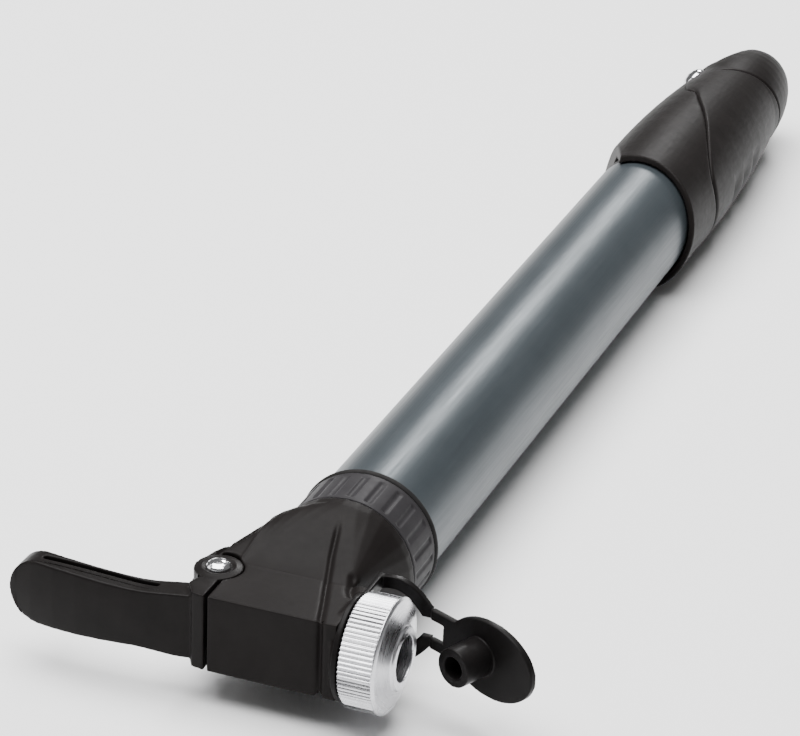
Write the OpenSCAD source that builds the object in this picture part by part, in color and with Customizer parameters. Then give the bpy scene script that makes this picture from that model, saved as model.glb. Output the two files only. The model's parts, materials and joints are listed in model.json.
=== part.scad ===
// Mini pump for bicycle tyres: lever-locked chuck, aluminium barrel and a handle that folds into a T.
// The barrel lies along +Y, the chuck points along +X and the rivets of the lever stand along Z.
// The origin is the centre of the valve port's mouth. Millimetres.

/* [Barrel] */
// Outer diameter of the barrel tube
barrel_d = 25; // [22:0.5:31]
// Wall of the barrel tube
barrel_wall = 1.2; // [1:0.1:1.6]
// Length of the barrel tube
barrel_length = 166; // [135:1:205]

/* [Head] */
// From the barrel's end to the flat front of the head
head_reach = 45; // [44:1:56]
// Height of the flat part of the head
head_height = 15; // [14.5:0.5:18]
// From the barrel's axis to the head's face behind the nut
head_right = 11.8; // [11:0.2:15]
// From the barrel's axis to the head's face beside the lever
head_left = 12.6; // [12:0.2:14]
// How far the round socket is wider than the barrel, in radius
socket_step = 1; // [0.6:0.1:2]
// From the head's front face to the chuck's axis
chuck_inset = 6.5; // [6.5:0.1:8]

/* [Chuck nut] */
// Outer diameter over the knurling
nut_d = 21.2; // [19.4:0.2:26]
// Length of the knurled part
knurl_length = 7.1; // [6:0.1:10]
// Hole in the nut that the tyre valve goes through
port_d = 8.4; // [8:0.1:9]
// Number of knurls round the nut
knurl_count = 72; // [48:1:96]

/* [Collar] */
// Length of the fluted lock ring
collar_length = 10.4; // [8:0.1:14]
// Wall of the fluted lock ring
collar_wall = 2.05; // [1.8:0.05:2.6]
// Number of flutes round the lock ring
flute_count = 24; // [16:1:32]

/* [Lever] */
// From the rivet to the lever's tip
lever_reach = 36.6; // [30:0.2:44]
// Thickness of the lever's blade
lever_thick = 5.2; // [4.4:0.1:5.3]
// Diameter of the lever's rivet
rivet_d = 3; // [2.4:0.1:3.6]

/* [Dust cap] */
// Length of the dust cap's oval plate
cap_length = 20.5; // [18:0.5:26]
// Height of the dust cap's oval plate
cap_height = 14.6; // [12:0.2:17]
// Diameter of the plug that closes the port
plug_d = 7.2; // [6.6:0.1:7.4]
// Length of the plug
plug_length = 6.5; // [5:0.5:8]

/* [Piston] */
// Diameter of the piston rod
rod_d = 8; // [7:0.5:10]
// Length of the piston
piston_length = 12; // [10:0.5:16]

/* [Handle] */
// Largest diameter of the handle
handle_d = 29; // [28.4:0.2:35]
// Length of the handle from the middle of its slanted mouth to its tip
handle_length = 101; // [96:1:116]
// From the handle's tip back to the pin that the T-bar turns on
pin_inset = 28.5; // [26:0.5:34]
// Diameter of the handle's pin
pin_d = 4; // [3:0.5:5]

/* [Hidden] */
$fn = 64;
fine = 96;
soft = 32;
running = 0.05;
pressed = 0.02;
gap = 0.3;
face_gap = 0.1;
big = 200;

barrel_r = barrel_d / 2;
bore_r = barrel_r - barrel_wall;

// Chuck: everything on its axis is placed from the head's right face
chuck_y = chuck_inset - head_reach;
neck_r = 8;
neck_length = 7.4;
ring_thick = 1.15;
nut_start = head_right + ring_thick + 0.3;
nut_wall = 1.5;
nut_end = nut_start + knurl_length;
rim_height = 0.5;
nose_height = 1.2;
port_r = port_d / 2;
port_x = nut_end + nose_height + rim_height;
neck_end = nut_end - nut_wall - gap;
chamber_r = chuck_inset - 1.3;
gland_r = 6.6;
chamber_x = -3;
stem_r = chamber_r - 2.8;
pusher_x = -head_left + 0.2;
pusher_travel = 2.2;
pusher_head = 3.6;
insert_x = chamber_x + pusher_travel + pusher_head + gap;
grommet_length = 7.6;
grommet_x = neck_end - grommet_length - face_gap;
gland_x = grommet_x - face_gap;
grommet_r = port_r - 0.35;
valve_r = 3;
core_pin_r = 0.8;
air_r = 1.5;
air_x = (insert_x + grommet_x) / 2;
air_groove = 2.4;

// Head
socket_r = barrel_r + socket_step;
seal_width = 1.1;
collar_end = -seal_width - face_gap;
socket_y = collar_end - collar_length - face_gap;
socket_lip = 2;
flange_width = 3.3;
spigot_r = bore_r - running;
spigot_length = 10;
collar_bore = bore_r + 0.08;
collar_r = collar_bore + collar_wall;
half_h = head_height / 2;
box_back = chuck_y + chamber_r + 3;
pocket_r = 3.4;
pocket_depth = 2;
seat_thick = 2.5;
seat_y = spigot_length - seat_thick - 0.5;

// Lever: the rivet is placed from the head's left face
rivet_x = -head_left - 2.5;
rivet_y = 10.7 - head_reach;
tongue_half = 4.2;
tongue_r = 4.9;
ear_r = 4;
fork_gap = 0.3;
web_r = tongue_r + 0.5;
strip_x = -head_left - 0.7;
blade_half = 6.3;
blade_y = -head_reach + 1.2;
blade_bow = 2.2;
bow_steps = 8;
slot_width = 1.1;
rivet_head_r = 2.3;
rivet_head_h = 1.2;

// Piston, rod and guide
piston_y = spigot_length + 4;
piston_r = bore_r - 0.35;
ring_cord = 2.4;
rod_r = rod_d / 2;
rod_bore = 1.6;
screw_head = 1.4;
bumper_length = 2;
stop_length = 4;
guide_length = 16;
guide_y = barrel_length - guide_length;
guide_flange = 2.5;
bush_wall = 1.6;
bush_length = 8;

// Handle, in its own frame: Y along the barrel, Z along the pin, X towards the T-bar's closed side
handle_turn = -53;
handle_r = handle_d / 2;
mouth_y = barrel_length - 7.5;
tip_y = mouth_y + handle_length;
pin_y = tip_y - pin_inset;
mouth_slant = 19;
mouth_turn = -30;
// A steeper second cut opens the mouth on the side that faces the head's cheek
notch_y = mouth_y - 24;
notch_slant = 73;
notch_turn = -75;
mouth_depth = handle_r * tan(mouth_slant);
sleeve_bore = barrel_r + gap + 0.1;
cavity_end = barrel_length + guide_flange + bumper_length + 0.5;
shank_y = cavity_end + 5;
rod_end = shank_y + 15;
cross_y = shank_y + 9;
cross_r = 1;
shank_r = 2.6;
mouth_r = handle_r - 0.2;
grip_bulge = 0.6;
waist_r = handle_r - 2.8;
tang_half = 4;
tang_width = 6;
cross_end = tang_width;
tang_end = tang_width;
pin_r = pin_d / 2;
pin_head_r = pin_r + 1.3;
pin_recess = 1.6;
seam_gap = 0.4;
pin_turn = 37;
base_end = 9;
// Where the seam runs: how far along the pin, from the low side, and how far from the pin's axis
seam_reach = pin_y - mouth_y - 12.9;
seam_line = [[-handle_r - 3, seam_reach - 5.6], [-9, seam_reach], [-2.5, seam_reach - 3.1],
             [waist_r - 0.4, seam_reach * 0.39], [waist_r + 1.3, seam_reach * 0.17]];

// Dust cap: the strap's hinge line stands beside the port
hinge_x = port_x + 0.9;
hinge_y = chuck_y + 11.8;
cap_turn = -24.5;
cap_thick = 1.3;
strap_thick = 1.3;
strap_half = 6.2;
tab_half = 3.9;

// Moves a shape from the barrel's own frame to the valve port's frame
module from_port() translate([-port_x, -chuck_y, 0]) children();

// Cylinder along Y from y0 to y1
module y_rod(r, y0, y1, faces = fine) {
    translate([0, y0, 0]) rotate([-90, 0, 0]) cylinder(r = r, h = y1 - y0, $fn = faces);
}

// Cylinder on the chuck's axis from x0 to x1
module x_rod(r, x0, x1, faces = fine) {
    translate([x0, chuck_y, 0]) rotate([0, 90, 0]) cylinder(r = r, h = x1 - x0, $fn = faces);
}

module y_tube(r_out, r_in, y0, y1) {
    difference() {
        y_rod(r_out, y0, y1);
        y_rod(r_in, y0 - 1, y1 + 1);
    }
}

module barrel() color("slategray") from_port() {
    y_tube(barrel_r, bore_r, 0, barrel_length);
}

module barrel_seal() color("black") from_port() {
    y_tube(barrel_r + 0.4, collar_bore, -seal_width - face_gap / 2, -face_gap / 2);
}

// Lock ring with rounded flutes
module locking_collar() color("dimgray") from_port() {
    flute_r = collar_r * PI / flute_count * 0.62;
    difference() {
        y_tube(collar_r, collar_bore, collar_end - collar_length, collar_end);
        for (i = [0 : flute_count - 1])
            rotate([0, i * 360 / flute_count, 0])
                translate([collar_r + flute_r * 0.72, 0, 0])
                    y_rod(flute_r, collar_end - collar_length + 1, collar_end - 1.2, 24);
    }
}

// Outline of the head's flat part, seen from above
module head_outline() {
    polygon([[-head_left, -head_reach], [head_right, -head_reach], [head_right, box_back],
             [-head_left, box_back]]);
}

module head_box() {
    translate([0, 0, -half_h]) linear_extrude(head_height) head_outline();
}

// Shoulder that grows from the flat part to the round socket
module head_shoulder() {
    hull() {
        y_rod(socket_r, socket_y - socket_lip, socket_y, soft);
        translate([-head_left, box_back - 1, -half_h])
            cube([head_left + head_right - flange_width, 1, head_height]);
    }
}

// Tongue and rim that carry the lever's rivet
module head_tongue() {
    translate([rivet_x, rivet_y, -tongue_half]) cylinder(r = tongue_r, h = 2 * tongue_half);
    translate([rivet_x, rivet_y - tongue_r * 0.6, -tongue_half])
        cube([-head_left - rivet_x + 1, tongue_r * 1.6, 2 * tongue_half]);
    translate([0, 0, -half_h]) linear_extrude(head_height) difference() {
        polygon([[-head_left + 1, rivet_y], [rivet_x, rivet_y], [rivet_x - 4.5, rivet_y + 2.6],
                 [rivet_x - 4.8, rivet_y + 4.3], [rivet_x - 3.8, rivet_y + 6.9],
                 [rivet_x - 1.1, rivet_y + 10.1], [rivet_x + 2.4, rivet_y + 15.9],
                 [rivet_x + 4.1, socket_y - socket_lip], [-head_left + 2.5, socket_y - socket_lip]]);
        translate([rivet_x, rivet_y]) circle(r = tongue_r);
    }
}

module head_body() color("#2b2829") from_port() {
    difference() {
        union() {
            head_box();
            head_shoulder();
            head_tongue();
            y_rod(spigot_r, socket_y - 1, spigot_length);
            x_rod(neck_r, head_right - 1, neck_end);
        }
        x_rod(chamber_r, chamber_x, neck_end + 1);
        x_rod(gland_r, gland_x, neck_end + 1);
        x_rod(stem_r + running, rivet_x - tongue_r - 1, chamber_x + 1);
        translate([rivet_x, rivet_y, -big / 2]) cylinder(r = rivet_d / 2 + running, h = big);
        // room for the lever's ears above and below the tongue
        for (s = [-1, 1])
            translate([rivet_x, rivet_y, s * (tongue_half + half_h + 1) - half_h - 1])
                cylinder(r = ear_r + 0.6, h = 2 * half_h + 2);
        // air passage and the check valve's pocket
        translate([air_x, chuck_y, 0]) y_rod(air_r, 0, -chuck_y + spigot_length + 1);
        translate([air_x, 0, 0]) y_rod(pocket_r, -pocket_depth, spigot_length + 1);
    }
}

// Threaded disc that holds the check valve in the head's spigot
module check_valve_seat() color("gold") from_port() translate([air_x, 0, 0]) {
    difference() {
        y_rod(pocket_r - running, seat_y, seat_y + seat_thick);
        y_rod(0.7, seat_y - 1, seat_y + seat_thick + 1);
        for (i = [0 : 3])
            rotate([0, 90 * i, 0]) translate([1.8, 0, 0]) y_rod(0.55, seat_y - 1, seat_y + seat_thick + 1, 24);
    }
}

// Rubber mushroom valve on the seat's inner side
module check_valve() color("maroon") from_port() translate([air_x, 0, 0]) {
    y_rod(2.8, seat_y - 1 - 0.05, seat_y - 0.05);
    y_rod(0.65, seat_y - 0.5, seat_y + seat_thick + 0.3);
}

// Round plunger that the lever's web pushes against the rubber
module cam_pusher() color("silver") from_port() {
    x_rod(stem_r, pusher_x, chamber_x + pusher_travel + 1);
    x_rod(chamber_r - running, chamber_x + pusher_travel, chamber_x + pusher_travel + pusher_head);
}

// Reversible insert with the pin that opens a valve's core
module valve_core_insert() color("ivory") from_port() {
    difference() {
        x_rod(chamber_r - 0.1, insert_x, grommet_x - face_gap);
        x_rod(valve_r, insert_x + 1.6, grommet_x + 1);
        difference() {
            x_rod(chamber_r + 1, air_x - air_groove / 2, air_x + air_groove / 2);
            x_rod(chamber_r - 1.2, air_x - air_groove, air_x + air_groove);
        }
        for (i = [0 : 3])
            translate([air_x, chuck_y, 0]) rotate([90 * i, 0, 0]) cylinder(r = 0.8, h = chamber_r + 1);
    }
    x_rod(core_pin_r, insert_x + 1, grommet_x + 0.6);
}

module valve_grommet() color("#141414") from_port() {
    difference() {
        x_rod(gland_r - 0.1, grommet_x, grommet_x + grommet_length);
        x_rod(grommet_r, grommet_x - 1, grommet_x + grommet_length + 1);
    }
}

// Knurled nut: straight knurls, a coned nose and a raised rim round the port
module chuck_nut() color("#d8d8dc") from_port() {
    nut_r = nut_d / 2;
    knurl_depth = 0.35;
    difference() {
        translate([0, chuck_y, 0]) rotate([0, 90, 0]) rotate_extrude($fn = fine)
            polygon([[0, nut_start], [nut_r - 0.6, nut_start], [nut_r, nut_start + 0.6],
                     [nut_r, nut_end - 0.4], [nut_r - 0.5, nut_end],
                     [port_r + 1.7, nut_end + nose_height], [port_r + 1.4, port_x],
                     [0, port_x]]);
        x_rod(neck_r + 0.1, nut_start - 1, nut_end - nut_wall);
        x_rod(port_r, nut_start, port_x + 1);
        for (i = [0 : knurl_count - 1])
            translate([nut_start - 1, chuck_y, 0]) rotate([i * 360 / knurl_count, 0, 0])
                translate([0, nut_r - knurl_depth, 0]) rotate([45, 0, 0])
                    cube([knurl_length + 0.4, 1, 1]);
    }
}

// Blade of the lever, bowed towards the barrel, as one slice of its length
function bow(t) = blade_bow * 4 * t * (1 - t);

module blade_outline() {
    root = -head_left - 2;
    tip = rivet_x - lever_reach;
    span = root - tip;
    front = [for (i = [0 : bow_steps]) let (t = i / bow_steps) [root - span * t, blade_y - bow(t)]];
    back = [for (i = [bow_steps : -1 : 0]) let (t = i / bow_steps)
            [root - span * t, blade_y - bow(t) + lever_thick]];
    polygon(concat(front, back));
}

module lever() color("#1e1c1c") from_port() {
    tip = rivet_x - lever_reach;
    difference() {
        union() {
            intersection() {
                translate([0, 0, -blade_half]) linear_extrude(2 * blade_half) blade_outline();
                union() {
                    translate([tip + blade_half, -big / 2, 0]) rotate([-90, 0, 0])
                        cylinder(r = blade_half, h = big);
                    translate([tip + blade_half, -big / 2, -blade_half])
                        cube([lever_reach, big, 2 * blade_half]);
                }
            }
            lever_root();
        }
        // long slot in the blade's upper edge
        translate([tip + 6, blade_y + lever_thick / 2 - blade_bow * 0.55, blade_half - 2.6])
            cube([lever_reach - 14, slot_width, 4]);
        translate([rivet_x, rivet_y, -tongue_half - fork_gap])
            cylinder(r = web_r, h = 2 * (tongue_half + fork_gap));
        translate([rivet_x, rivet_y, -big / 2]) cylinder(r = rivet_d / 2 + running, h = big);
    }
}

// Root block: two ears round the rivet, joined by a web in front of the tongue
module lever_root() {
    difference() {
        translate([0, 0, -half_h]) linear_extrude(head_height) lever_root_outline();
        translate([rivet_x, rivet_y, -tongue_half - fork_gap])
            cylinder(r = web_r, h = 2 * (tongue_half + fork_gap));
        translate([rivet_x - ear_r - 1, rivet_y, -tongue_half - fork_gap])
            cube([2 * ear_r + 2, ear_r + 2, 2 * (tongue_half + fork_gap)]);
    }
}

module lever_root_outline() {
    front = -head_reach;
    difference() {
        union() {
            translate([rivet_x, rivet_y]) circle(r = ear_r);
            polygon([[strip_x, front], [strip_x, rivet_y - ear_r * 0.7], [rivet_x, rivet_y],
                     [rivet_x - ear_r * 0.8, rivet_y - 1.4], [rivet_x - 1.7, rivet_y - 4.5],
                     [rivet_x - 2.6, rivet_y - 7],
                     [rivet_x - 0.6, front + 0.4]]);
        }
    }
}

// Rivet with a domed head at each end
module lever_rivet() color("gainsboro") from_port() translate([rivet_x, rivet_y, 0]) {
    cylinder(r = rivet_d / 2, h = head_height + 0.4, center = true);
    for (s = [0, 1]) mirror([0, 0, s]) translate([0, 0, half_h + 0.05]) rotate_extrude()
        polygon(concat([[0, 0]], [for (a = [0 : 15 : 90]) [rivet_head_r * cos(a), rivet_head_h * sin(a)]]));
}

// Ring round the neck with two arms that reach past the nut
module dust_cap_strap() color("#161616") from_port() {
    ring_x = head_right + 0.15;
    arm_y = chuck_y + nut_d / 2 + 1.2;
    arm_end_x = hinge_x - cap_thick / 2 - gap;
    difference() {
        union() {
            x_rod(nut_d / 2 - 0.8, ring_x, ring_x + ring_thick);
            translate([ring_x, chuck_y, -strap_half - 0.9])
                cube([ring_thick, nut_d / 2 + 1.2, 2 * strap_half + 1.8]);
        }
        x_rod(neck_r + 0.1, ring_x - 1, ring_x + ring_thick + 1);
    }
    for (s = [-1, 1]) {
        hull() {
            translate([ring_x, arm_y - 1, s * strap_half - 0.9]) cube([ring_thick, strap_thick, 1.8]);
            translate([nut_end, arm_y, s * (strap_half - 0.4) - 0.9]) cube([1, strap_thick, 1.8]);
        }
        hull() {
            translate([nut_end, arm_y, s * (strap_half - 0.4) - 0.9]) cube([1, strap_thick, 1.8]);
            translate([arm_end_x - 1, hinge_y - strap_thick / 2, s * 3 - 0.9]) cube([1, strap_thick, 1.8]);
        }
    }
    translate([arm_end_x - 1.2, hinge_y - strap_thick / 2, -tab_half])
        cube([1.2, strap_thick, 2 * tab_half]);
}

// Oval plate with a hollow plug, in a frame with its origin on the hinge line
module dust_cap() color("#161616") from_port() translate([hinge_x, hinge_y, 0]) rotate([0, 0, cap_turn]) {
    plug_x = hinge_y - chuck_y;
    plate_mid = plug_x + cap_length / 2 - 8;
    squeeze = cap_height / cap_length;
    difference() {
        union() {
            rotate([90, 0, 0]) translate([plate_mid, 0, -cap_thick / 2]) linear_extrude(cap_thick)
                scale([1, squeeze, 1]) circle(d = cap_length);
            translate([0, -cap_thick / 2, -tab_half]) cube([plate_mid - cap_length / 2 + 2, cap_thick, 2 * tab_half]);
            translate([0, 0, -tab_half]) cylinder(r = cap_thick / 2, h = 2 * tab_half);
            translate([plug_x, 0, 0]) y_rod(plug_d / 2, -plug_length - cap_thick / 2, 0);
        }
        translate([plug_x, 0, 0]) y_rod(plug_d / 2 - 1.5, -plug_length - cap_thick, -cap_thick / 2);
    }
}

module piston() color("white") from_port() {
    mid = piston_y + piston_length / 2;
    difference() {
        y_rod(piston_r, piston_y, piston_y + piston_length);
        y_rod(rod_r + pressed, piston_y + 4, piston_y + piston_length + 1);
        y_rod(1.5, piston_y - 1, piston_y + 5);
        y_tube(piston_r + 1, bore_r - ring_cord - 0.1, mid - ring_cord / 2 - 0.2, mid + ring_cord / 2 + 0.2);
    }
}

module piston_o_ring() color("#101010") from_port() {
    translate([0, piston_y + piston_length / 2, 0]) rotate([-90, 0, 0]) rotate_extrude($fn = fine)
        translate([bore_r - running - ring_cord / 2, 0]) circle(d = ring_cord, $fn = soft);
}

module piston_screw() color("silver") from_port() {
    difference() {
        union() {
            y_rod(3, piston_y - screw_head - 0.02, piston_y - 0.02);
            y_rod(1.45, piston_y - 0.5, piston_y + 12);
        }
        translate([0, piston_y - screw_head - 0.5, 0]) cube([6.2, 1.3, 0.8], center = true);
        y_rod(0.4, piston_y + 11.5, piston_y + 13, 24);
    }
}

// Hollow rod, from the piston to the handle, with a thinner shank inside the tang
module piston_rod() color("silver") from_port() difference() {
    union() {
        y_rod(rod_r, piston_y + 4.05, shank_y - face_gap);
        y_rod(shank_r, shank_y - 1, rod_end);
    }
    y_rod(rod_bore, piston_y + 3, shank_y - 5);
    rotate([0, handle_turn, 0]) translate([-big / 2, cross_y, 0]) rotate([0, 90, 0])
        cylinder(r = cross_r + pressed, h = big);
}

module stroke_bumper() color("#202020") from_port() {
    y_tube(rod_r + 3, rod_r + pressed, piston_y + piston_length + 0.05, piston_y + piston_length + stop_length);
}

// Plug in the barrel's open end that guides the rod
module rod_guide() color("#262424") from_port() {
    difference() {
        union() {
            y_rod(bore_r - running, guide_y, barrel_length + 0.5);
            y_rod(barrel_r, barrel_length + 0.05, barrel_length + guide_flange);
        }
        y_rod(rod_r + 0.4, guide_y - 1, barrel_length + guide_flange + 1);
        y_rod(rod_r + bush_wall + 0.05, barrel_length + guide_flange - bush_length,
              barrel_length + guide_flange + 1);
        // breathing holes
        for (i = [0 : 3])
            rotate([0, 45 + 90 * i, 0]) translate([8.2, 0, 0]) y_rod(1.2, guide_y - 1, big + big, 24);
    }
}

module rod_bush() color("khaki") from_port() {
    y_tube(rod_r + bush_wall, rod_r + running, barrel_length + guide_flange - bush_length + 0.05,
           barrel_length + guide_flange - 0.1);
}

module handle_bumper() color("#202020") from_port() {
    y_tube(rod_r + 4, rod_r + pressed, cavity_end - bumper_length + 0.2, cavity_end - 0.05);
}

// The handle's own frame, turned so that the pin points up and to the left
module in_handle() from_port() rotate([0, handle_turn, 0]) children();

// Outer shape of the whole handle, a turned form
module handle_form() {
    grip_y = mouth_y + 8;
    rotate([-90, 0, 0]) rotate_extrude($fn = fine)
        polygon(concat(
            [[0, mouth_y - mouth_depth], [mouth_r, mouth_y - mouth_depth]],
            [for (t = [0 : 0.1 : 1])
                [mouth_r + grip_bulge * sin(180 * t) - (mouth_r - waist_r) * t * t,
                 grip_y + t * (pin_y - grip_y)]],
            [for (a = [8 : 8 : 88])
                [waist_r * pow(cos(a), 0.7), pin_y + (tip_y - pin_y) * sin(a)]],
            [[0, tip_y]]));
}

// Space inside the seam: cones about the pin's axis, so the T-bar clears the base as it turns
module seam_form(inset) {
    for (i = [0 : len(seam_line) - 2]) {
        low = seam_line[i];
        high = seam_line[i + 1];
        translate([0, pin_y, low[0]])
            cylinder(r1 = low[1] - inset, r2 = high[1] - inset, h = high[0] - low[0], $fn = fine);
    }
}

// Tang that carries the pin
module handle_tang() {
    translate([0, pin_y, -tang_half]) cylinder(r = tang_end, h = 2 * tang_half);
    translate([-tang_width, cavity_end, -tang_half])
        cube([2 * tang_width, pin_y - cavity_end, 2 * tang_half]);
}

// All that lies before a slanted plane across the handle
module mouth_cut(y, slant, turn) {
    translate([0, y, 0]) rotate([0, turn - handle_turn, 0]) rotate([-slant, 0, 0])
        translate([-big / 2, -big, -big / 2]) cube([big, big, big]);
}

module handle_base() color("#1d1b1b") in_handle() {
    difference() {
        union() {
            difference() {
                handle_form();
                seam_form(0);
                translate([-big / 2, pin_y - base_end, -big / 2]) cube([big, big, big]);
            }
            handle_tang();
        }
        y_rod(sleeve_bore, mouth_y - mouth_depth - 1, cavity_end);
        y_rod(rod_r + pressed, cavity_end - 1, shank_y);
        y_rod(shank_r + pressed, cavity_end, rod_end + 0.1);
        mouth_cut(mouth_y, mouth_slant, mouth_turn);
        mouth_cut(notch_y, notch_slant, notch_turn);
        translate([0, pin_y, -big / 2]) cylinder(r = pin_r + running, h = big);
        translate([-big / 2, cross_y, 0]) rotate([0, 90, 0]) cylinder(r = cross_r + pressed, h = big);
    }
}

module handle_cross_pin() color("silver") in_handle() {
    translate([-cross_end, cross_y, 0]) rotate([0, 90, 0])
        cylinder(r = cross_r, h = 2 * cross_end - face_gap);
}

module t_handle() color("#211f1f") in_handle() {
    side = tang_width + seam_gap;
    difference() {
        intersection() {
            handle_form();
            seam_form(seam_gap);
        }
        // slot for the tang, open below and on one side
        translate([-big, pin_y - big, -tang_half - seam_gap])
            cube([big + side, big + tang_end + seam_gap, 2 * (tang_half + seam_gap)]);
        translate([0, pin_y, -big / 2]) rotate([0, 0, pin_turn]) cylinder(r = pin_r + pressed, h = big);
        for (s = [0, 1]) mirror([0, 0, s]) translate([0, pin_y, waist_r - pin_recess])
            rotate([0, 0, pin_turn]) cylinder(r = pin_head_r + 0.2, h = handle_r);
    }
}

module handle_pin() color("gainsboro") in_handle() translate([0, pin_y, 0]) {
    cylinder(r = pin_r, h = 2 * (waist_r - pin_recess) + 0.2, center = true);
    for (s = [0, 1]) mirror([0, 0, s]) translate([0, 0, waist_r - pin_recess + 0.05]) rotate_extrude()
        polygon(concat([[0, 0]], [for (a = [0 : 15 : 90]) [pin_head_r * cos(a), 2.1 * sin(a)]]));
}

barrel();
barrel_seal();
locking_collar();
head_body();
check_valve_seat();
check_valve();
cam_pusher();
valve_core_insert();
valve_grommet();
chuck_nut();
lever();
lever_rivet();
dust_cap_strap();
dust_cap();
piston();
piston_o_ring();
piston_screw();
piston_rod();
stroke_bumper();
rod_guide();
rod_bush();
handle_bumper();
handle_base();
handle_cross_pin();
t_handle();
handle_pin();
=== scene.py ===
"""Looks of the mini pump, built round its CAD frame.

Places are worked out from the frame's boxes. Shape functions think in millimetres in "barrel
coordinates": the origin is on the barrel's axis at its head end, +Y runs to the handle and
+X points out of the chuck.
"""

import json
import math

import bmesh
import bpy
import numpy as np
from mathutils import Matrix, Vector

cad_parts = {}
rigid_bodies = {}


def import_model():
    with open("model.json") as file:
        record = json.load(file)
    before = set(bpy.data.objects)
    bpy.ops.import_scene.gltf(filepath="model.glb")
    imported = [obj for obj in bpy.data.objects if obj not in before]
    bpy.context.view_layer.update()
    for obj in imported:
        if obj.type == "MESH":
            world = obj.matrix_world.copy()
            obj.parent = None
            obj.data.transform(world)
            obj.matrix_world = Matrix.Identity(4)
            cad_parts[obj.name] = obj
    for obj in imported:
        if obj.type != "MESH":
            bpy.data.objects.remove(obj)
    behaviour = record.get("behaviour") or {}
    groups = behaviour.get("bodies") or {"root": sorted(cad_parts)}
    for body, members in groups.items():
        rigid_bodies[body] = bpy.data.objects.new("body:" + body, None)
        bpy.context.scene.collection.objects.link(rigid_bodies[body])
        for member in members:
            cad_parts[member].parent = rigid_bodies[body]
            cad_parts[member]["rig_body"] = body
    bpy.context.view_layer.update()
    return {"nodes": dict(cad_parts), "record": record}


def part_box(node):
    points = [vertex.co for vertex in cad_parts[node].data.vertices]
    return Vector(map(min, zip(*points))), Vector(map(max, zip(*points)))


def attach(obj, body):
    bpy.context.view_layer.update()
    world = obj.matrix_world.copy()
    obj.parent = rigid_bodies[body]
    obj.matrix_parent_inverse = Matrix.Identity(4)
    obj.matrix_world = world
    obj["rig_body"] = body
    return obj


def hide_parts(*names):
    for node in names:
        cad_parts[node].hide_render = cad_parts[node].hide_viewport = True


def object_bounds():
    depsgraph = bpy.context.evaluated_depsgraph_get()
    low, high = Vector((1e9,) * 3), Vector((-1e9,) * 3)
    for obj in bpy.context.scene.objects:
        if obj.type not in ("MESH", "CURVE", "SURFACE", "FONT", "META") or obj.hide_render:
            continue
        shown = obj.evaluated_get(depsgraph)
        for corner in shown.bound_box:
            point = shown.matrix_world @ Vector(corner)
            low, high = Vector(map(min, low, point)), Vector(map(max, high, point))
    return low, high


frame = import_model()
NODES = frame["nodes"]
MM = 0.001
WELD = 0.002 * MM  # corners closer than this are one corner

# ---------------------------------------------------------------- places, from the frame
barrel_low, barrel_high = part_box("barrel")
head_low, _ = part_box("head_body")
lever_low, lever_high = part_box("lever")
rivet_low, rivet_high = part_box("lever_rivet")
nut_low, nut_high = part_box("chuck_nut")
strap_low, strap_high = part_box("dust_cap_strap")
collar_low, collar_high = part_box("locking_collar")
_, tip_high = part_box("t_handle")
pin_low, pin_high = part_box("handle_pin")
AXIS = Vector((
    (barrel_low.x + barrel_high.x) / 2,
    barrel_low.y,
    (barrel_low.z + barrel_high.z) / 2,
))


def local(point):
    """A world point as barrel coordinates in millimetres."""
    return (Vector(point) - AXIS) / MM


BARREL_R = (barrel_high.x - barrel_low.x) / 2 / MM
RIVET = (local(rivet_low) + local(rivet_high)) / 2
# The lowest Y of the head is the edge of its flange, a little in front of its flat front face
HEAD_FRONT = local(head_low).y
# The lever's root is as thick as the flat part of the head
HEAD_HALF = local(lever_high).z
LEVER_TIP = local(lever_low).x
# The head's shoulder rises from its flat part to the round socket on the barrel
SHOULDER_START = HEAD_FRONT + 14.7
SHOULDER_END = local(collar_low).y - 2.1
SOCKET_R = BARREL_R + 1
COLLAR_END = local(collar_high).y
NUT_R = (nut_high.z - nut_low.z) / 2 / MM
CHUCK_Y = (local(nut_low).y + local(nut_high).y) / 2
STRAP_THICK = 1.3
STRAP_END = local(strap_high).x
STRAP_Y = local(strap_high).y - STRAP_THICK / 2
PIN = (local(pin_low) + local(pin_high)) / 2
# The handle's pin stands across the barrel at this angle in degrees from +X towards +Z
PIN_ANGLE = 143
PIN_TURN = math.radians(PIN_ANGLE)
TIP_Y = local(tip_high).y
HANDLE_R = local(tip_high).x
WAIST_R = HANDLE_R - 2.6  # the handle's radius at its pin


# ---------------------------------------------------------------- mesh tools
def coords(mesh):
    """The mesh's vertices as barrel coordinates, in an array of millimetres."""
    flat = np.zeros(len(mesh.vertices) * 3)
    mesh.vertices.foreach_get("co", flat)
    return (flat.reshape(-1, 3) - np.array(AXIS)) / MM


def set_coords(mesh, points):
    mesh.vertices.foreach_set("co", (points * MM + np.array(AXIS)).ravel())
    mesh.update()


def smooth_faces(mesh):
    mesh.polygons.foreach_set("use_smooth", [True] * len(mesh.polygons))


def linked(obj):
    """Puts an object into the scene."""
    bpy.context.scene.collection.objects.link(obj)
    return obj


def baked(obj):
    """The object's mesh with its modifiers applied."""
    graph = bpy.context.evaluated_depsgraph_get()
    mesh = bpy.data.meshes.new_from_object(obj.evaluated_get(graph))
    bpy.data.objects.remove(obj)
    return mesh


def piece(name, mesh, body, slot, material, *stands_for):
    """Adds a finished piece: it rides on a body and may stand for CAD nodes."""
    obj = linked(bpy.data.objects.new(name, mesh))
    mesh.materials.clear()
    mesh.materials.append(material)
    smooth_faces(mesh)
    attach(obj, body)
    if stands_for:
        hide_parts(*stands_for)


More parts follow.
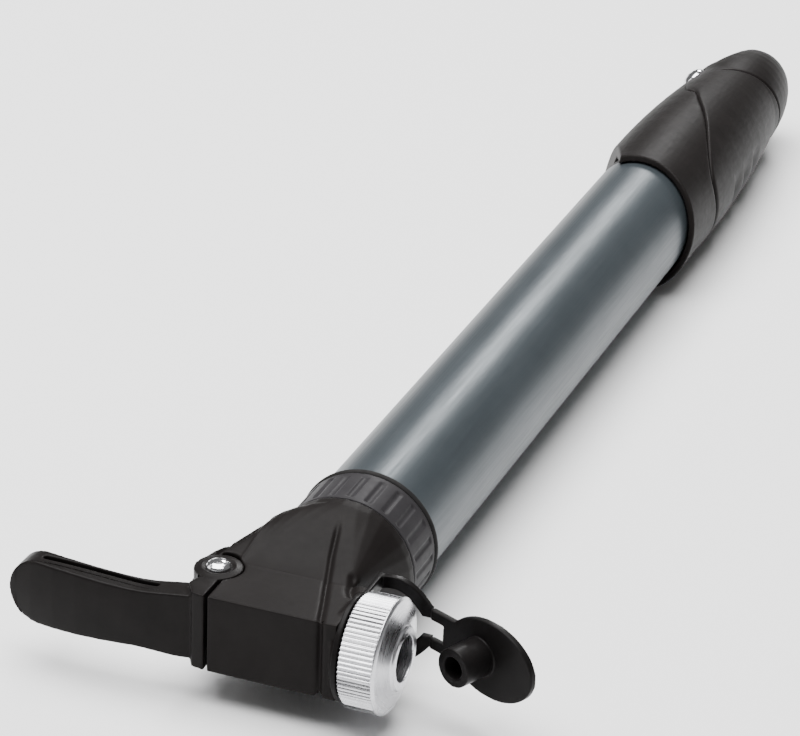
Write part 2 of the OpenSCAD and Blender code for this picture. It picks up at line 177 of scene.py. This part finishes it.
def welded(name, meshes):
    """An object in the scene that holds some meshes as one, with shared corners."""
    soup = bmesh.new()
    for mesh in meshes:
        soup.from_mesh(mesh)
    bmesh.ops.remove_doubles(soup, verts=soup.verts, dist=WELD)
    mesh = bpy.data.meshes.new(name)
    soup.to_mesh(mesh)
    soup.free()
    return linked(bpy.data.objects.new(name, mesh))


def softened(name, meshes, voxel, rounds):
    """Closed meshes remeshed as one, so that their edges are softly rounded. voxel is in
    millimetres, and rounds is how often the result is smoothed."""
    obj = welded(name, meshes)
    remesh = obj.modifiers.new("remesh", "REMESH")
    remesh.mode = "VOXEL"
    remesh.voxel_size = voxel * MM
    relax = obj.modifiers.new("relax", "SMOOTH")
    relax.factor = 0.5
    relax.iterations = rounds
    return baked(obj)


def cut(mesh, tool):
    """A copy of a closed mesh with a closed tool taken out of it."""
    body, away = welded("cut_body", [mesh]), welded("cut_tool", [tool])
    boolean = body.modifiers.new("cut", "BOOLEAN")
    boolean.operation = "DIFFERENCE"
    boolean.object = away
    result = baked(body)
    bpy.data.objects.remove(away)
    return result


def from_node(node, voxel, rounds):
    return softened(node + "_soft", [NODES[node].data], voxel, rounds)


def shaped(node, moves, voxel, rounds):
    """A softened copy of a CAD node, its points then moved in place by each of moves."""
    mesh = from_node(node, voxel, rounds)
    points = coords(mesh)
    for move in moves:
        move(points)
    set_coords(mesh, points)
    return mesh


def new_mesh(points, faces):
    """A mesh from points in barrel coordinates."""
    mesh = bpy.data.meshes.new("form")
    mesh.from_pydata([tuple(AXIS + Vector(p) * MM) for p in points], [], faces)
    shape = bmesh.new()
    shape.from_mesh(mesh)
    bmesh.ops.recalc_face_normals(shape, faces=shape.faces)
    shape.to_mesh(mesh)
    shape.free()
    return mesh


def block(low, high):
    """A closed box between two corners."""
    x, y, z = zip(low, high)
    points = [(x[i], y[j], z[k]) for i in (0, 1) for j in (0, 1) for k in (0, 1)]
    faces = [(0, 1, 3, 2), (4, 6, 7, 5), (0, 4, 5, 1), (2, 3, 7, 6), (0, 2, 6, 4), (1, 5, 7, 3)]
    return new_mesh(points, faces)


def band_faces(near, far, count):
    """Faces between two rings of count points, which start at the points near and far."""
    turn = [(k, (k + 1) % count) for k in range(count)]
    return [(near + k, near + after, far + after, far + k) for k, after in turn]


def lathe(profile, steps, place):
    """A ring of closed section. profile holds (radius, distance along the axis), and place
    makes barrel coordinates of the two coordinates across the axis and the one along it."""
    count = len(profile)
    points, faces = [], []
    for i in range(steps):
        a = math.tau * i / steps
        points += [place(r * math.cos(a), r * math.sin(a), along) for r, along in profile]
        faces += band_faces(count * i, count * ((i + 1) % steps), count)
    return new_mesh(points, faces)


def ring_on_chuck(inner, outer, start, end):
    """A square-edged ring about the chuck's axis."""
    profile = [(inner, start), (outer, start), (outer, end), (inner, end)]
    return lathe(profile, 96, lambda u, v, x: (x, CHUCK_Y + u, v))


def ring_on_barrel(profile):
    """A ring about the barrel's axis from (radius, y) points."""
    return lathe(profile, 128, lambda u, v, y: (u, y, v))


def bezier(a, b, c, d, steps=24):
    """Points along a cubic curve."""
    a, b, c, d = (np.array(p, float) for p in (a, b, c, d))
    t = np.linspace(0, 1, steps)[:, None]
    return (1 - t) ** 3 * a + 3 * t * (1 - t) ** 2 * b + 3 * t * t * (1 - t) * c + t**3 * d


def ribbon(path, width, thick):
    """A flat band swept along a path that keeps nearly the same Y. Its ends are closed."""
    points, faces = [], []
    up = np.array((0.0, 1.0, 0.0))
    for place, way in zip(path, np.gradient(path, axis=0)):
        side = np.cross(up, way)
        side /= np.linalg.norm(side)
        for s, u in ((-1, -1), (1, -1), (1, 1), (-1, 1)):
            points.append(tuple(place + side * s * width / 2 + up * u * thick / 2))
    last = 4 * (len(path) - 1)
    for i in range(0, last, 4):
        faces += band_faces(i, i + 4, 4)
    faces += [(3, 2, 1, 0), (last, last + 1, last + 2, last + 3)]
    return new_mesh(points, faces)


# ---------------------------------------------------------------- shaping by numbers
def step_up(value, start, end):
    """0 before start, 1 after end, eased between."""
    t = np.clip((value - start) / (end - start), 0, 1)
    return t * t * (3 - 2 * t)


def groove(distance, width, depth):
    """Depth of a round-bottomed groove at a distance from its middle line."""
    return depth * np.exp(-((distance / (width / 2)) ** 2))


def line_distance(points, path):
    """Distance of 2-D points to a path, and how far along it they are from 0 to 1."""
    best = np.full(len(points), np.inf)
    along = np.zeros(len(points))
    path = np.array(path, float)
    lengths = np.hypot(*np.diff(path, axis=0).T)
    total = lengths.sum()
    done = 0
    for start, end, length in zip(path[:-1], path[1:], lengths):
        way = (end - start) / length
        t = np.clip((points - start) @ way, 0, length)
        gap = np.hypot(*(points - start - t[:, None] * way).T)
        closer = gap < best
        best[closer] = gap[closer]
        along[closer] = (done + t[closer]) / total
        done += length
    return best, along


# ---------------------------------------------------------------- materials
class Nodes:
    """Short names for building a shader."""

    def __init__(self, name):
        self.material = bpy.data.materials.new(name)
        self.material.use_nodes = True
        self.tree = self.material.node_tree
        self.shader = self.tree.nodes["Principled BSDF"]
        self.place = self.add("ShaderNodeTexCoord").outputs["Object"]

    def add(self, kind, **values):
        """A new node with some of its inputs set."""
        node = self.tree.nodes.new(kind)
        for key, value in values.items():
            node.inputs[key.replace("_", " ")].default_value = value
        return node

    def link(self, out, into):
        self.tree.links.new(out, into)

    def set(self, **values):
        """Values that are the same all over the surface, on the shader's own sockets."""
        for key, value in values.items():
            self.shader.inputs[key.replace("_", " ")].default_value = value

    def stretched(self, x, y, z):
        """Object coordinates scaled along each axis."""
        mapping = self.add("ShaderNodeMapping", Scale=(x, y, z))
        self.link(self.place, mapping.inputs["Vector"])
        return mapping.outputs["Vector"]

    def noise(self, size, detail=4, where=None):
        """Noise whose features are about size millimetres."""
        node = self.add("ShaderNodeTexNoise", Scale=1 / (size * MM), Detail=detail)
        self.link(where or self.place, node.inputs["Vector"])
        return node.outputs["Fac"]

    def colours(self, factor, first, second, start=0.3, end=0.7):
        """Goes from the first colour to the second as factor goes from start to end."""
        ramp = self.add("ShaderNodeValToRGB")
        stops = ramp.color_ramp.elements
        for stop, place, colour in zip(stops, (start, end), (first, second)):
            stop.position = place
            stop.color = (*colour, 1)
        self.link(factor, ramp.inputs["Fac"])
        self.link(ramp.outputs["Color"], self.shader.inputs["Base Color"])

    def rough(self, factor, low, high, start=0.3, end=0.7):
        """Roughness goes from low to high as factor goes from start to end."""
        node = self.add("ShaderNodeMapRange", From_Min=start, From_Max=end, To_Min=low, To_Max=high)
        self.link(factor, node.inputs["Value"])
        self.link(node.outputs["Result"], self.shader.inputs["Roughness"])

    def bump(self, height, depth):
        """Bump of depth millimetres."""
        node = self.add("ShaderNodeBump", Strength=1.0, Distance=depth * MM)
        self.link(height, node.inputs["Height"])
        self.link(node.outputs["Normal"], self.shader.inputs["Normal"])


def moulded(name, dark, light, smooth, rough):
    """Injection-moulded plastic with a fine spark-eroded grain and faint flow marks."""
    m = Nodes(name)
    flow, gloss, grain = m.noise(6), m.noise(1.4), m.noise(0.28, 3)
    m.colours(flow, dark, light)
    m.rough(gloss, smooth, rough)
    m.bump(grain, depth=0.012)
    m.set(Specular_IOR_Level=0.07)
    return m.material


def rubber(name, dark, light):
    """Dull moulded rubber."""
    m = Nodes(name)
    cloud, gloss, grain = m.noise(3), m.noise(1.2), m.noise(0.16, 2)
    m.colours(cloud, dark, light)
    m.rough(gloss, 0.55, 0.75)
    m.bump(grain, depth=0.015)
    m.set(Specular_IOR_Level=0.1)
    return m.material


def anodised(name, dark, light):
    """Satin anodised tube: fine drawing lines along its length, slight blotches."""
    m = Nodes(name)
    blotches, grain = m.noise(14), m.noise(0.12, 2)
    lines = m.noise(0.35, 3, m.stretched(1, 0.02, 1))
    m.colours(blotches, dark, light)
    m.rough(lines, 0.33, 0.42)
    m.bump(grain, depth=0.004)
    m.set(Metallic=0.5, Specular_IOR_Level=0.35)
    return m.material


# How turning marks are squeezed along X, Y and Z, for a piece turned about X or about Y
ABOUT_X = (1, 0.03, 0.03)
ABOUT_Y = (0.03, 1, 0.03)


def turned(name, dark, light, smooth, rough, depth=0.004, squeeze=ABOUT_X):
    """Bright machined metal with fine turning marks round its axis."""
    m = Nodes(name)
    stain, marks = m.noise(4), m.noise(0.1, 2, m.stretched(*squeeze))
    m.colours(stain, dark, light)
    m.rough(marks, smooth, rough)
    m.bump(marks, depth)
    m.set(Metallic=1.0)
    return m.material


head_plastic = moulded(
    "head_plastic", smooth=0.44, rough=0.50,
    dark=(0.0068, 0.0056, 0.0054), light=(0.0090, 0.0076, 0.0073),
)
handle_plastic = moulded(
    "handle_plastic", smooth=0.45, rough=0.51,
    dark=(0.0085, 0.0073, 0.007), light=(0.0105, 0.0090, 0.0087),
)
lever_plastic = moulded(
    "lever_plastic", smooth=0.32, rough=0.44,
    dark=(0.006, 0.0052, 0.005), light=(0.009, 0.0077, 0.0075),
)
strap_plastic = moulded(
    "strap_plastic", smooth=0.28, rough=0.40,
    dark=(0.005, 0.0045, 0.0045), light=(0.008, 0.0072, 0.0072),
)
collar_plastic = moulded(
    "collar_plastic", smooth=0.42, rough=0.50,
    dark=(0.021, 0.0198, 0.0213), light=(0.027, 0.0255, 0.0272),
)
white_acetal = moulded(
    "white_acetal", smooth=0.35, rough=0.5,
    dark=(0.74, 0.73, 0.69), light=(0.82, 0.81, 0.77),
)
seal_rubber = rubber("seal_rubber", dark=(0.010, 0.0095, 0.0095), light=(0.016, 0.015, 0.015))
barrel_metal = anodised("barrel_metal", dark=(0.046, 0.056, 0.063), light=(0.056, 0.067, 0.075))
nut_metal = turned(
    "nut_metal", smooth=0.24, rough=0.34,
    dark=(0.55, 0.55, 0.575), light=(0.68, 0.68, 0.70),
)
pin_metal = turned(
    "pin_metal", smooth=0.10, rough=0.18, depth=0.002,
    dark=(0.66, 0.66, 0.68), light=(0.80, 0.80, 0.82),
)
rod_metal = turned(
    "rod_metal", smooth=0.14, rough=0.22, depth=0.002, squeeze=ABOUT_Y,
    dark=(0.62, 0.62, 0.65), light=(0.76, 0.76, 0.79),
)
bronze_metal = turned(
    "bronze_metal", smooth=0.28, rough=0.42,
    dark=(0.42, 0.28, 0.11), light=(0.56, 0.40, 0.18),
)

SLOT_MATERIAL = {
    "anodised_barrel": barrel_metal,
    "black_plastic": head_plastic,
    "grey_plastic": collar_plastic,
    "black_rubber": seal_rubber,
    "bright_aluminium": nut_metal,
    "steel": pin_metal,
    "white_plastic": white_acetal,
    "bronze": bronze_metal,
}


def finish_cad_nodes():
    """Every CAD node gets its slot's procedural material, and the rod its own."""
    slots = {part["node"]: part["material_slot"] for part in frame["record"]["subparts"]}
    for name, obj in NODES.items():
        material = SLOT_MATERIAL.get(slots.get(name), head_plastic)
        if name == "piston_rod":
            material = rod_metal
        obj.data.materials.clear()
        obj.data.materials.append(material)


# ---------------------------------------------------------------- handle
GRIP_LENGTH = 65  # the handle narrows over this length towards its pin
NOSE_POWER = 0.35  # below a half, the nose is blunter than an ellipse
FINGER_ANGLE = -30  # degrees: the fingers' side, which faces right and down
FINGER_FULL, FINGER_END = 22, 44  # degrees to each side where the ridges begin to fade, and end
RIDGE_STARTS = (43, 35, 26.5)  # distances behind the pin
RIDGE_LENGTH = 7
RIDGE_DEPTH = 1.1
# The CAD seam: (distance along the pin, distance from the pin's axis)
SEAM = ((-HANDLE_R - 3, 54), (-9, 59.6), (-2.5, 56.5), (WAIST_R - 0.4, 23), (WAIST_R + 1.3, 10))
SEAM_REACH = 14.5  # the seam's course is worked out no further than this from the pin's plane


def along_pin(points):
    return points[:, 0] * math.cos(PIN_TURN) + points[:, 2] * math.sin(PIN_TURN)


def across_pin(points):
    return points[:, 0] * math.sin(PIN_TURN) - points[:, 2] * math.cos(PIN_TURN)


def move_along_pin(points, amount):
    points[:, 0] += amount * math.cos(PIN_TURN)
    points[:, 2] += amount * math.sin(PIN_TURN)


def turned_angle(points):
    """Angle of each point round the barrel in degrees from +X towards +Z. It jumps by a full
    turn at the hidden end of the pin."""
    angle = np.degrees(np.arctan2(points[:, 2], points[:, 0]))
    return np.where(angle < PIN_ANGLE - 180, angle + 360, angle)


def visible_angle(points):
    """The same, with the hidden half folded onto the shown half about the pin's plane."""
    angle = turned_angle(points)
    return np.where(angle > PIN_ANGLE, 2 * PIN_ANGLE - angle, angle)


def push_in(points, amount, outer):
    """Moves the points at the outer radius towards the barrel's axis. Those more than 1.2 mm
    inside it stay, so that the handle's inner walls keep their shape."""
    radius = np.hypot(points[:, 0], points[:, 2])
    wall = step_up(radius, outer - 1.2, outer - 0.5)
    keep = 1 - amount * wall / np.maximum(radius, 1)
    points[:, 0] *= keep
    points[:, 2] *= keep


def handle_skin_radius(y):
    """Outer radius of the handle at y."""
    sleeve_r = HANDLE_R - 0.2
    grip = PIN.y - GRIP_LENGTH
    t = np.clip((y - grip) / (PIN.y - grip), 0, 1)
    side = sleeve_r - (sleeve_r - WAIST_R) * t * t
    s = np.clip((y - PIN.y) / (TIP_Y - PIN.y), 0, 0.999)
    nose = WAIST_R * (1 - s * s) ** NOSE_POWER
    return np.where(y > PIN.y, nose, side)


def tip_facet(points):
    """A step and a slanted flat on the rivet's side of the T-bar's nose."""
    start, slope, depth = PIN.y + 6, 0.30, 4.1
    y = points[:, 1]
    plane = HANDLE_R - depth - (y - start) * slope
    over = np.maximum(along_pin(points) - plane, 0) * step_up(y, PIN.y + 5.7, PIN.y + 6.3)
    move_along_pin(points, -over)


def finger_ridges(points):
    """Three shallow steps under the fingers, fading out round the handle."""
    angle = turned_angle(points)
    side = np.abs(np.where(angle > 180, angle - 360, angle) - FINGER_ANGLE)
    fade = 1 - step_up(side, FINGER_FULL, FINGER_END)
    y = points[:, 1]
    depth = np.zeros(len(points))
    for back in RIDGE_STARTS:
        first = PIN.y - back
        rise = step_up(y, first - 0.5, first)
        depth += RIDGE_DEPTH * rise * (1 - step_up(y, first, first + RIDGE_LENGTH))
    push_in(points, depth * fade, handle_skin_radius(y))


def cap_line(points):
    """The fine line round the nose: it starts a little beyond the pin on the fingers' side and
    bends back faster and faster on its way round."""
    angle = visible_angle(points)
    start = PIN.y + 4.2
    slope = 0.055 * np.maximum(angle, 0)
    bend = 0.00011 * np.maximum(angle - 30, 0) ** 2.35
    distance = np.abs(points[:, 1] - (start - slope - bend))
    shown = 1 - step_up(angle, 92, 104)
    line = groove(distance, width=0.7, depth=0.5)
    push_in(points, line * shown, handle_skin_radius(points[:, 1]))


def seam_radius(along):
    """The CAD seam's distance from the pin's axis at a distance along the pin."""
    return np.interp(along, *zip(*SEAM))


def seam_y(radius, across):
    """Y of a seam that keeps radius from the pin's axis."""
    reach = np.minimum(np.abs(across), SEAM_REACH)
    return PIN.y - np.sqrt(np.maximum(radius**2 - reach**2, 1))


def ease_seam(points):
    """Rounds the corners of the seam's course and sinks its edges a little."""
    along, across = along_pin(points), across_pin(points)
    steps = range(-4, 5)
    smooth = sum(seam_radius(along + k) for k in steps) / len(steps)
    old = seam_y(seam_radius(along), across)
    new = seam_y(smooth, across)
    # Only what lies near the seam follows it, and the seam keeps its course beside the rivet
    near = 1 - step_up(np.abs(points[:, 1] - old), 4, 11)
    shown = 1 - step_up(along, 8.5, 11)
    points[:, 1] += (new - old) * near * shown
    edge = groove(points[:, 1] - new, width=1.5, depth=0.38) * shown
    push_in(points, edge, handle_skin_radius(points[:, 1]))


def make_handle():
    base = shaped("handle_base", [finger_ridges, ease_seam], voxel=0.25, rounds=3)
    piece("handle_sleeve", base, "plunger", "black_plastic", handle_plastic, "handle_base")
    moves = [finger_ridges, ease_seam, tip_facet, cap_line]
    bar = shaped("t_handle", moves, voxel=0.25, rounds=3)
    piece("handle_t_bar", bar, "t_bar", "black_plastic", handle_plastic, "t_handle")


def make_handle_rivet():
    """The handle's pin: the head on the shown side stands a little proud, the other is sunk."""
    proud, sunk = 1.0, 1.3
    pin = NODES["handle_pin"].data.copy()
    points = coords(pin)
    along = along_pin(points)
    # 0 along the shank and 1 on the two heads
    heads = step_up(np.abs(along), HANDLE_R - 5.2, HANDLE_R - 4.6)
    move_along_pin(points, heads * np.where(along > 0, proud, sunk))
    set_coords(pin, points)
    piece("handle_rivet", pin, NODES["handle_pin"]["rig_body"], "steel", pin_metal, "handle_pin")


# ---------------------------------------------------------------- head
# Sides of the CAD head where its shoulder starts, and of the cheek beside the lever
BOX_LEFT, BOX_RIGHT, CHEEK_LEFT = -12.6, 8.5, -11
# The shoulder's outline on the lever's side: distances from HEAD_FRONT, half widths there
OUTLINE_Y = (11, 15, 17.6, 20.8, 26.6, 31.5)
OUTLINE_X = (20.4, 20.4, 19.3, 16.8, 13.9, SOCKET_R)
# Lines on the head's top and bottom: X, and Y from HEAD_FRONT, then each line's width and depth
PARTING_LINE = ((9.4, -1), (6.9, 7.3), (4.7, 14.1), (2.7, 21), (0.9, 29.4))
POCKET_LINE = ((8.2, 17.6), (9.2, 14.2), (10.6, 11.6))
HEAD_LINES = ((PARTING_LINE, 0.95, 0.65), (POCKET_LINE, 1.5, 0.7))
FRONT_LINE_X = 8.65
# Slots in the shoulder beside the lever's boss, each from one (X, Y) to another
CHEEK_SLOTS = (((-17.1, -29.3), (-16, -26.6)), ((-15, -25.8), (-13.4, -23.0)))


def shoulder_top(x, y):
    """Height of the CAD head's top: a flat box, then straight lines to the round socket."""
    t = np.clip((y - SHOULDER_START) / (SHOULDER_END - SHOULDER_START), 0.001, 1)
    left, right = BOX_LEFT * (1 - t), BOX_RIGHT * (1 - t)
    beside = np.where(x < left, left - x, np.where(x > right, x - right, 0)) / t
    straight = (1 - t) * HEAD_HALF + t * np.sqrt(np.maximum(SOCKET_R**2 - beside**2, 0))
    return np.maximum(straight, np.where(x < CHEEK_LEFT, HEAD_HALF, 0))


def wanted_top(x, y):
    """Height of the real head's top: one crowned skin from the boss to the socket."""
    t = np.clip((y - SHOULDER_START) / (SHOULDER_END - SHOULDER_START), 0, 1)
    middle = HEAD_HALF + (SOCKET_R - HEAD_HALF) * (0.45 * t + 0.55 * t * t * (3 - 2 * t))
    outline = np.interp(y, HEAD_FRONT + np.array(OUTLINE_Y), OUTLINE_X)
    half = np.where(x < 0, outline, SOCKET_R)
    # From nearly square in section at the boss to round at the socket
    power = 9 - 7 * t
    return middle * (1 - np.minimum(np.abs(x) / half, 0.995) ** power) ** (1 / power)


def shoulder_curve(points):
    """Turns the CAD head's straight shoulder and flat cheek into one crowned skin."""
    x, y, z = points.T
    old = shoulder_top(x, y)
    shown = step_up(y, SHOULDER_START - 3, SHOULDER_START)
    shown *= 1 - step_up(y, SHOULDER_END - 0.2, SHOULDER_END)
    # Only the skin moves, and only on the lever's side of the chuck
    outer = step_up(np.abs(z), old * 0.72, old * 0.86) * shown * (1 - step_up(x, 1.0, 5.5))
    points[:, 2] *= 1 + outer * (wanted_top(x, y) / np.maximum(old, 1) - 1)


def sink(points, depth):
    """Sinks the head's top and bottom."""
    points[:, 2] -= np.sign(points[:, 2]) * depth


def head_lines(points):
    """The curved parting line on the head's top and bottom, its run down the front, and the
    short pocket beside the flange."""
    flat = points[:, [0, 1]] - np.array([0, HEAD_FRONT])
    skin = step_up(np.abs(points[:, 2]), HEAD_HALF - 0.9, HEAD_HALF - 0.3)
    down = np.zeros(len(points))
    for path, width, depth in HEAD_LINES:
        distance, along = line_distance(flat, path)
        down += groove(distance, width, depth) * (1 - step_up(along, 0.86, 1.0))
    sink(points, down * skin)
    front = 1 - step_up(points[:, 1], HEAD_FRONT + 1.9, HEAD_FRONT + 2.5)
    points[:, 1] += groove(points[:, 0] - FRONT_LINE_X, width=1.0, depth=0.7) * front


def cheek_slots(points):
    """Two short slots in the shoulder beside the lever's boss."""
    slot_depth = 0.9
    flat = points[:, [0, 1]]
    skin = step_up(np.abs(points[:, 2]), HEAD_HALF - 1.2, HEAD_HALF - 0.4)
    down = np.zeros(len(points))
    for slot in CHEEK_SLOTS:
        distance, _ = line_distance(flat, slot)
        down += slot_depth * (1 - step_up(distance, 0.35, 0.75))
    sink(points, np.minimum(down, slot_depth) * skin)


def make_head():
    moves = [shoulder_curve, head_lines, cheek_slots]
    head = shaped("head_body", moves, voxel=0.24, rounds=5)
    piece("head_casting", head, "pump_body", "black_plastic", head_plastic, "head_body")


# ---------------------------------------------------------------- lever
BLADE_HALF = 6.3  # half of the blade's width
BLADE_WAIST = 0.13  # how much narrower, as a share, the blade is beside its root
BLADE_CROWN = 0.55  # how far the front's edges lie behind its middle
EAR_SWELL = 0.45  # how far the rims of the root's ears move outwards
RING_R = 3.1  # radius of the raised ring round the rivet


def blade_curves(points):
    """The paddle's waist towards its root, and its crowned front: the edges lie further back."""
    blade = step_up(-points[:, 0], -RIVET.x + 2, -RIVET.x + 13)
    far = np.clip((RIVET.x - points[:, 0]) / (RIVET.x - LEVER_TIP), 0, 1)
    points[:, 2] *= 1 - blade * BLADE_WAIST * (1 - step_up(far, 0.1, 0.8))
    front = points[:, 1] < HEAD_FRONT + 2.4
    points[:, 1] += blade * BLADE_CROWN * (points[:, 2] / BLADE_HALF) ** 2 * front


def rivet_ears(points):
    """The root's ears a little fuller, with a raised ring round the rivet."""
    ring = np.hypot(points[:, 0] - RIVET.x, points[:, 1] - RIVET.y)
    rim = step_up(ring, 3.3, 3.9) * (1 - step_up(ring, 4.2, 4.6))
    swell = rim * step_up(np.abs(points[:, 2]), 4.4, 4.9) * EAR_SWELL
    for axis, middle in ((0, RIVET.x), (1, RIVET.y)):
        points[:, axis] += swell * (points[:, axis] - middle) / np.maximum(ring, 1)
    skin = step_up(np.abs(points[:, 2]), HEAD_HALF - 1.0, HEAD_HALF - 0.3)
    raised = groove(ring - RING_R, width=0.9, depth=0.25)
    points[:, 2] += np.sign(points[:, 2]) * raised * skin


def make_lever():
    lever = shaped("lever", [blade_curves, rivet_ears], voxel=0.22, rounds=5)
    piece("lever_paddle", lever, "lever", "black_plastic", lever_plastic, "lever")


# ---------------------------------------------------------------- collar, nut, strap and cap
def make_collar():
    collar = from_node("locking_collar", voxel=0.2, rounds=2)
    piece("fluted_collar", collar, "collar", "grey_plastic", collar_plastic, "locking_collar")


def make_ring():
    """The black ring that shows between the lock ring and the barrel: a half-round outside
    on a flat sleeve."""
    start, end = COLLAR_END, 0.35
    shoulder, bulge, inner = BARREL_R + 0.4, 0.8, BARREL_R - 0.9
    steps = 12
    profile = []
    for i in range(steps + 1):
        a = math.pi * i / steps
        y = (start + end) / 2 - (end - start) / 2 * math.cos(a)
        profile.append((shoulder + bulge * math.sin(a), y))
    profile += [(inner, end - 0.4), (inner, start)]
    ring = ring_on_barrel(profile)
    piece("barrel_ring", ring, "pump_body", "black_rubber", seal_rubber, "barrel_seal")


def make_nut():
    nut = from_node("chuck_nut", voxel=0.13, rounds=1)
    piece("knurled_nut", nut, "nut", "bright_aluminium", nut_metal, "chuck_nut")


def strap_arm(side, start, end):
    """An arm's foot on the ring, its curved run past the nut, and its end beside the hinge."""
    foot_z, foot_half = side * 7.0, 1.3
    foot_low, foot_high = CHUCK_Y + 4, STRAP_Y + 0.65
    foot = block((start, foot_low, foot_z - foot_half), (end, foot_high, foot_z + foot_half))
    # X, and the distance to the side
    bends = ((start + 0.6, 6.9), (start + 4.5, 8.0), (STRAP_END - 3.4, 6.6), (STRAP_END - 0.6, 2.9))
    path = bezier(*((x, STRAP_Y, side * z) for x, z in bends))
    run = ribbon(path, 2.4, STRAP_THICK)
    low_z, high_z = sorted((side * 1.9, side * 3.9))
    tab = block((STRAP_END - 1.5, STRAP_Y - STRAP_THICK / 2, low_z),
                (STRAP_END + 0.42, STRAP_Y + STRAP_THICK / 2, high_z))
    return [foot, run, tab]


def make_strap():
    """A ring behind the nut, and two curved arms that carry the cap's hinge."""
    start, end = local(strap_low).x, local(nut_low).x - 0.3
    forms = [ring_on_chuck(NUT_R - 2.5, NUT_R - 0.8, start, end)]
    for side in (-1, 1):
        forms += strap_arm(side, start, end)
    strap = softened("strap_form", forms, voxel=0.17, rounds=4)
    piece("cap_strap", strap, "strap", "black_rubber", strap_plastic, "dust_cap_strap")


def make_cap():
    """The dust cap. Its tab is open between the strap's two ends, as far as the oval plate."""
    cap_turn = math.radians(-24.5)
    half = 1.9
    hinge = Vector((STRAP_END + 0.95, STRAP_Y, 0))
    opening = block((hinge.x - 1.5, hinge.y - 2, -half), (hinge.x + 3.1, hinge.y + 2, half))
    pivot = Matrix.Translation(AXIS + hinge * MM)
    opening.transform(pivot @ Matrix.Rotation(cap_turn, 4, "Z") @ pivot.inverted())
    cap = softened("cap_form", [cut(NODES["dust_cap"].data, opening)], voxel=0.17, rounds=3)
    piece("cap_plate", cap, "cap", "black_rubber", strap_plastic, "dust_cap")


# ---------------------------------------------------------------- stage, light and camera
FLOOR_REACH = 6
# Name, place and target in metres from the barrel's head end, size in metres, power in watts
LIGHTS = (
    ("back_softbox", (-0.16, 1.05, 0.62), (0, 0.08, 0), (0.24, 0.24), 5.0),
    ("overhead", (-0.15, 0.05, 1.1), (0, 0.1, 0), (1.2, 1.2), 44.0),
    ("left_fill", (-0.9, -0.1, 0.5), (0, 0.1, 0), (0.6, 0.5), 2.0),
)
SKY_STRENGTH = 0.18
# The camera: millimetres from the barrel's head end, and degrees
CAMERA_PLACE = (204.09, -533.48, 313.08)
CAMERA_TURN = 21.0908
CAMERA_DOWN = 25.9074
CAMERA_ROLL = 1.75
CAMERA_SHIFT = (0.0423, -0.0079)
FOCAL_LENGTH = 158.98


def area_light(name, place, target, size, power):
    data = bpy.data.lights.new(name, "AREA")
    data.shape = "RECTANGLE"
    data.size, data.size_y = size
    data.energy = power
    obj = linked(bpy.data.objects.new(name, data))
    obj.location = AXIS + Vector(place)
    aim = AXIS + Vector(target) - obj.location
    obj.rotation_euler = aim.to_track_quat("-Z", "Y").to_euler()
    return obj


def make_floor():
    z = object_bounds()[0].z
    mesh = bpy.data.meshes.new("floor")
    signs = ((-1, -1), (1, -1), (1, 1), (-1, 1))
    corners = [(FLOOR_REACH * x, FLOOR_REACH * y, z) for x, y in signs]
    mesh.from_pydata(corners, [], [(0, 1, 2, 3)])
    floor = linked(bpy.data.objects.new("floor", mesh))
    m = Nodes("floor_paint")
    m.colours(m.noise(400, 2), (0.93, 0.93, 0.932), (0.94, 0.94, 0.942))
    m.rough(m.noise(60, 2), 0.75, 0.85)
    m.bump(m.noise(1.5, 2), 0.02)
    floor.data.materials.append(m.material)


def make_light():
    world = bpy.data.worlds.new("studio")
    bpy.context.scene.world = world
    world.use_nodes = True
    sky = world.node_tree.nodes["Background"]
    sky.inputs["Color"].default_value = (1, 1, 1, 1)
    sky.inputs["Strength"].default_value = SKY_STRENGTH
    lights = [area_light(*light) for light in LIGHTS]


def make_camera():
    data = bpy.data.cameras.new("camera")
    data.sensor_width = 36
    data.lens = FOCAL_LENGTH
    data.shift_x, data.shift_y = CAMERA_SHIFT
    data.clip_start = 0.01
    data.clip_end = 50
    camera = linked(bpy.data.objects.new("camera", data))
    turn = Matrix.Rotation(math.radians(CAMERA_TURN), 4, "Z")
    tilt = Matrix.Rotation(math.radians(90 - CAMERA_DOWN), 4, "X")
    roll = Matrix.Rotation(math.radians(CAMERA_ROLL), 4, "Z")
    place = AXIS + Vector(CAMERA_PLACE) * MM
    camera.matrix_world = Matrix.Translation(place) @ turn @ tilt @ roll
    bpy.context.scene.camera = camera


finish_cad_nodes()
make_handle()
make_handle_rivet()
make_head()
make_lever()
make_collar()
make_ring()
make_nut()
make_strap()
make_cap()
make_floor()
make_light()
make_camera()
